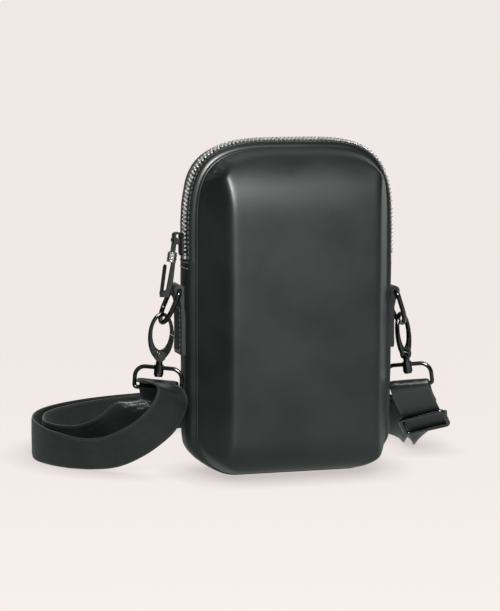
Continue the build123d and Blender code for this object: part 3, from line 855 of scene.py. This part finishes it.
def d_ring_place(side):
    """The D-ring's own frame, from the middle of its hook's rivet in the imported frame."""
    low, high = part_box(("left" if side < 0 else "right") + "_hook_rivet")
    rivet = (low + high) / 2 / MM
    lean = 4.0 if side < 0 else -8.0
    turn = -28.0 if side < 0 else -32.0
    leant = Matrix.Translation(rivet) @ Matrix.Rotation(math.radians(lean), 4, "Y")
    return leant @ Matrix.Rotation(math.radians(turn), 4, "Z")


left_turned = d_ring_place(-1)
right_turned = d_ring_place(1)


def at_bar(place, side, forward, up):
    """Edge pair of webbing lying along a D-ring's bar, offset from the bar's middle."""
    half = -side * webbing_width / 2
    return tuple(place @ Vector((x, -forward, bar_z + up)) for x in (half, -half))


def upright(points):
    """Edge pairs of webbing that stands on its edge at these floor points."""
    return [(Vector((x, y, 0.2)), Vector((x, y, 0.2 + webbing_width))) for x, y in points]


def pairs(values):
    """Edge pairs from plain numbers."""
    return [(Vector(a), Vector(b)) for a, b in values]


descent_across = Vector((0.847, -0.464, 0.262)).normalized()
descent_start = Vector((76, 11, 38))
descent_guess = Vector((0.38, 0.57, -0.73))
descent = (descent_guess - descent_across * descent_guess.dot(descent_across)).normalized()
descent_back = descent_across.cross(descent)


def on_descent(distance, lift):
    """Edge pair on the straight slope below the right D-ring."""
    edge = descent_start + descent * distance + descent_back * lift
    return edge, edge + descent_across * webbing_width


layer = webbing_thickness + 0.8
round_bar = 1.3 + 0.5 + webbing_thickness / 2
left_fold = ((-5.0, -8.0), (-3.4, -1.0), (-2.4, 3.4), (0.8, 5.2), (5.0, 4.2))
around_bar = [(math.cos(math.radians(a)), math.sin(math.radians(a))) for a in (-40, 5, 50, 95, 140)]
strap_pairs = (
    [on_descent(32, layer + 0.4)]
    + pairs([((94.5, 41, 7), (109, 33, 26.5)), ((99.5, 56, 0.8), (105, 52.5, 25.2))])
    + upright([(103.5, 78), (101, 96), (91, 117), (68, 137), (34, 150), (-8, 154), (-48, 150)])
    + upright([(-84, 140), (-112, 123), (-129, 105), (-137, 87)])
    + pairs(
        [
            ((-139, 66, 0.3), (-139.5, 64, 25.2)),
            ((-131, 50, 0.6), (-133, 47, 25.4)),
            ((-119, 35, 3), (-124, 34, 27.5)),
            ((-104, 22, 12), (-116, 20, 34)),
            ((-88, 12, 27), (-107, 13, 43.5)),
        ]
    )
    + [at_bar(left_turned, -1, f, u) for f, u in left_fold]
    + pairs(
        [
            ((-69.8, -14.5, 54), (-91, -14.5, 60.5)),
            ((-67.6, -18, 47.7), (-88.0, -26, 58.7)),
            ((-69.6, -18, 40), (-90.5, -26, 50.6)),
            ((-73.6, -15, 31), (-94, -21.5, 44)),
            ((-79, -9, 23.5), (-99.5, -13.5, 36)),
            ((-89, 2, 12.5), (-106, -4, 30)),
            ((-103, 14, 3.6), (-115.5, 6.5, 24)),
            ((-117, 25, 0.6), (-126, 16, 22)),
            ((-133, 37, 0.5), (-135.5, 27.5, 23)),
            ((-142.5, 54, 0.3), (-143.5, 47, 24)),
        ]
    )
    + upright([(-146, 71), (-143, 91), (-134, 112), (-117, 131), (-87, 149), (-50, 159), (-8, 163)])
    + upright([(36, 159), (73, 145), (98, 123), (109, 97), (110, 74)])
    + pairs([((104.5, 50, 0.4), (112.5, 46, 23.8)), ((99, 38, 4), (116, 29, 20.5))])
    + [on_descent(distance, 0) for distance in (34.5, 33, 27, 14, 2)]
    + [at_bar(right_turned, 1, round_bar * f, round_bar * u) for f, u in around_bar]
    + [on_descent(4, layer), on_descent(13, layer)]
)


def extended(values):
    """The values with one more guessed at each end."""
    return [2 * values[0] - values[1]] + values + [2 * values[-1] - values[-2]]


def curve_through(values, spacing, samples):
    """A smooth Catmull-Rom curve through vectors, timed by the gaps between the points in spacing."""
    padded, timing = extended(values), extended(spacing)
    result = []
    for k in range(1, len(padded) - 2):
        p0, p1, p2, p3 = padded[k - 1 : k + 3]
        q0, q1, q2, q3 = timing[k - 1 : k + 3]
        t1 = (q1 - q0).length ** 0.5
        t2 = t1 + (q2 - q1).length ** 0.5
        t3 = t2 + (q3 - q2).length ** 0.5
        for s in range(samples):
            t = t1 + (t2 - t1) * s / samples
            a1 = p0 * ((t1 - t) / t1) + p1 * (t / t1)
            a2 = p1 * ((t2 - t) / (t2 - t1)) + p2 * ((t - t1) / (t2 - t1))
            a3 = p2 * ((t3 - t) / (t3 - t2)) + p3 * ((t - t2) / (t3 - t2))
            b1 = a1 * ((t2 - t) / t2) + a2 * (t / t2)
            b2 = a2 * ((t3 - t) / (t3 - t1)) + a3 * ((t - t1) / (t3 - t1))
            result.append(b1 * ((t2 - t) / (t2 - t1)) + b2 * ((t - t1) / (t2 - t1)))
    result.append(values[-1])
    return result


def webbing_piece():
    """The strap as a thin closed band with rounded edges, its UVs in metres along and across."""
    samples = 10
    centres = [(a + b) / 2 for a, b in strap_pairs]
    middles = curve_through(centres, centres, samples)
    turns = curve_through([(b - a) / 2 for a, b in strap_pairs], centres, samples)
    sections = 14
    profile = []
    for k in range(sections + 1):
        u = -1 + 2 * k / sections
        thick = webbing_thickness / 2 * (1 - 0.45 * max(0.0, (abs(u) - 0.93) / 0.07) ** 2)
        profile.append((u, thick))
    rows, uvs = [], []
    travelled = 0.0
    glide_low, glide_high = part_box("tri_glide")
    glide_middle = (glide_low + glide_high) / 2 / MM
    for i, (middle, turn) in enumerate(zip(middles, turns)):
        before, after = middles[max(0, i - 1)], middles[min(len(middles) - 1, i + 1)]
        across = turn.normalized()
        along = (after - before).normalized()
        up = across.cross(along).normalized()
        if i:
            travelled += (middle - middles[i - 1]).length
        slack = smooth_step(14.0, 30.0, (middle - glide_middle).length)
        cup = 0.18 * slack * ripple((travelled, 0, 0), 38.0, 7.0)
        row, row_uv = [], []
        for direction in (1, -1):
            for u, thick in profile if direction == 1 else profile[::-1]:
                wave = 0.16 * slack * ripple((travelled, u * 9, 0), 11.0, 2.0) + cup * u * u
                p = middle + across * (u * webbing_width / 2) + up * (direction * thick + wave)
                row.append(Vector((p.x, p.y, max(0.1, p.z))))
                row_uv.append((travelled * MM, (u * 0.5 + 0.5) * webbing_width * MM))
        rows.append(row)
        uvs.append(row_uv)
    points = [p for row in rows for p in row]
    faces = tube_faces(len(rows), len(rows[0]), flip_caps=True)
    flat_uvs = [uv for row_uv in uvs for uv in row_uv]
    piece = mesh_piece("webbing_strap", points, faces, webbing, "strap", flat_uvs)
    piece.data.set_sharp_from_angle(angle=math.radians(60))
    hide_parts("webbing_inner_run", "webbing_outer_run")
    return piece


webbing_piece()

# ---- finishes for the frame's own pieces
finishes = {
    "foam": foam,
    "lining": lining,
    "board": board,
    "zip_metal": teeth_metal,
    "hardware": gunmetal,
    "polished_metal": polished,
    "leather": leather,
    "zip_tape": zip_tape,
    "webbing": webbing,
}
darker = ("pull_gate", "left_hook_gate", "right_hook_gate")
for entry in frame["record"]["subparts"]:
    node = nodes[entry["node"]]
    node.data.materials.clear()
    node.data.materials.append(dark_metal if entry["node"] in darker else finishes[entry["material_slot"]])
    node.data.set_sharp_from_angle(angle=math.radians(35))

# ---- floor, light and camera
def floor_material():
    """Pale paper that glows evenly for the camera, with a faint painted contact shadow, and a cool glow
    seen only in reflections: a painted reflection in the bag that fades out to both sides.
    """
    material, tree, shader = new_material("floor_paper")
    # The second colour is the cool tint of the painted reflection, which only glossy rays see.
    seen_colour, painted_reflection_colour = (0.871, 0.807, 0.784), (0.76, 0.83, 0.82)
    painted_shadow_reach = 0.025
    shader.inputs["Base Color"].default_value = (0.86, 0.80, 0.775, 1)
    shader.inputs["Roughness"].default_value = 0.9
    shader.inputs["Specular IOR Level"].default_value = 0.1
    mottle = add_node(tree, "ShaderNodeTexNoise", {"Scale": 300.0, "Detail": 4.0})
    bump = add_node(
        tree, "ShaderNodeBump", {"Height": mottle.outputs["Fac"], "Distance": 0.1 * MM, "Strength": 0.2}
    )
    tree.links.new(bump.outputs["Normal"], shader.inputs["Normal"])
    light_path = add_node(tree, "ShaderNodeLightPath")
    seen, mirrored = light_path.outputs["Is Camera Ray"], light_path.outputs["Is Glossy Ray"]
    # Painted contact shadow: the glow the camera sees is dimmed by ambient occlusion where the bag and
    # strap come near the floor.
    hidden = add_node(tree, "ShaderNodeAmbientOcclusion", {"Distance": painted_shadow_reach}, samples=16)
    painted_shadow_factor = ramp(tree, hidden.outputs["AO"], 0.68, 1.022, 0.15, 1.0)
    # Painted reflection: for glossy rays the floor glows, dark to the left and dimmer to the right, so the
    # bag mirrors a bright floor in front.
    position = add_node(tree, "ShaderNodeNewGeometry").outputs["Position"]
    rightwards = add_node(tree, "ShaderNodeSeparateXYZ", {"Vector": position}).outputs["X"]
    left_fade = ramp(tree, rightwards, 0.03, 0.9, -0.3, 0.12)
    right_fade = ramp(tree, rightwards, 1.0, 0.5, 0.35, 0.75)
    painted_reflection_strength = maths(tree, "MULTIPLY", maths(tree, "MULTIPLY", left_fade, right_fade), mirrored)
    strength = maths(tree, "ADD", maths(tree, "MULTIPLY", painted_shadow_factor, seen), painted_reflection_strength)
    tint = mix_colour(tree, mirrored, seen_colour, painted_reflection_colour)
    glow = add_node(tree, "ShaderNodeEmission", {"Color": tint, "Strength": strength})
    share = maths(tree, "MULTIPLY", maths(tree, "MAXIMUM", seen, mirrored), 0.965)
    blend = add_node(tree, "ShaderNodeMixShader", {"Fac": share})
    tree.links.new(shader.outputs["BSDF"], blend.inputs[1])
    tree.links.new(glow.outputs["Emission"], blend.inputs[2])
    tree.links.new(blend.outputs["Shader"], tree.nodes["Material Output"].inputs["Surface"])
    return material


def floor_piece():
    """A flat floor that curves up into a wall behind the bag."""
    reach, front, bend, radius, top = 12.0, -3.0, 1.0, 0.6, 3.0
    rows = [(front, 0.0), (bend, 0.0)]
    for a in spread(0.1, math.pi / 2, 12):
        rows.append((bend + radius * math.sin(a), radius * (1 - math.cos(a))))
    rows.append((bend + radius, top))
    points = [(x, y, z) for y, z in rows for x in (-reach, reach)]
    faces = [(2 * i, 2 * i + 1, 2 * i + 3, 2 * i + 2) for i in range(len(rows) - 1)]
    mesh = bpy.data.meshes.new("floor")
    mesh.from_pydata(points, [], faces)
    mesh.materials.append(floor_material())
    mesh.shade_smooth()
    floor = bpy.data.objects.new("floor", mesh)
    bpy.context.scene.collection.objects.link(floor)


floor_piece()

world = bpy.data.worlds.new("studio")
world.use_nodes = True
world.node_tree.nodes["Background"].inputs["Color"].default_value = (0.95, 0.97, 1.0, 1)
world.node_tree.nodes["Background"].inputs["Strength"].default_value = 0.07
bpy.context.scene.world = world
bpy.context.scene.view_settings.view_transform = "Standard"


def soft_light(name, place, width, height, power):
    """A rectangular studio light facing the middle of the bag."""
    data = bpy.data.lights.new(name, "AREA")
    data.shape = "RECTANGLE"
    data.size, data.size_y = width, height
    data.energy = power
    lamp = bpy.data.objects.new(name, data)
    bpy.context.scene.collection.objects.link(lamp)
    lamp.location = place
    lamp.rotation_euler = (middle_of_bag - Vector(place)).to_track_quat("-Z", "Y").to_euler()


middle_of_bag = Vector((0, 0, 0.1))
soft_light("key_light", (-0.26, -0.88, 0.66), 0.40, 0.28, 28.0)
soft_light("top_light", (-0.2, 0.1, 1.6), 1.2, 1.0, 2.5)
soft_light("left_light", (-1.3, -0.7, 0.5), 0.4, 0.8, 1.0)
soft_light("right_light", (0.9, 0.75, 0.45), 0.3, 0.8, 1.4)

camera_place = Vector((-395.6, -1300.4, 269.3)) * MM
camera_ahead = Vector((0.27358, 0.95410, -0.12185))
camera_right = Vector((0.96126, -0.27564, 0.0))
camera_up = Vector((0.03359, 0.11713, 0.99255))
camera_data = bpy.data.cameras.new("camera")
camera_data.sensor_width = 36.0
camera_data.lens = 129.6
camera_data.clip_end = 20.0
camera = bpy.data.objects.new("camera", camera_data)
bpy.context.scene.collection.objects.link(camera)
facing = Matrix((camera_right, camera_up, -camera_ahead)).transposed().to_4x4()
camera.matrix_world = Matrix.Translation(camera_place) @ facing
bpy.context.scene.camera = camera
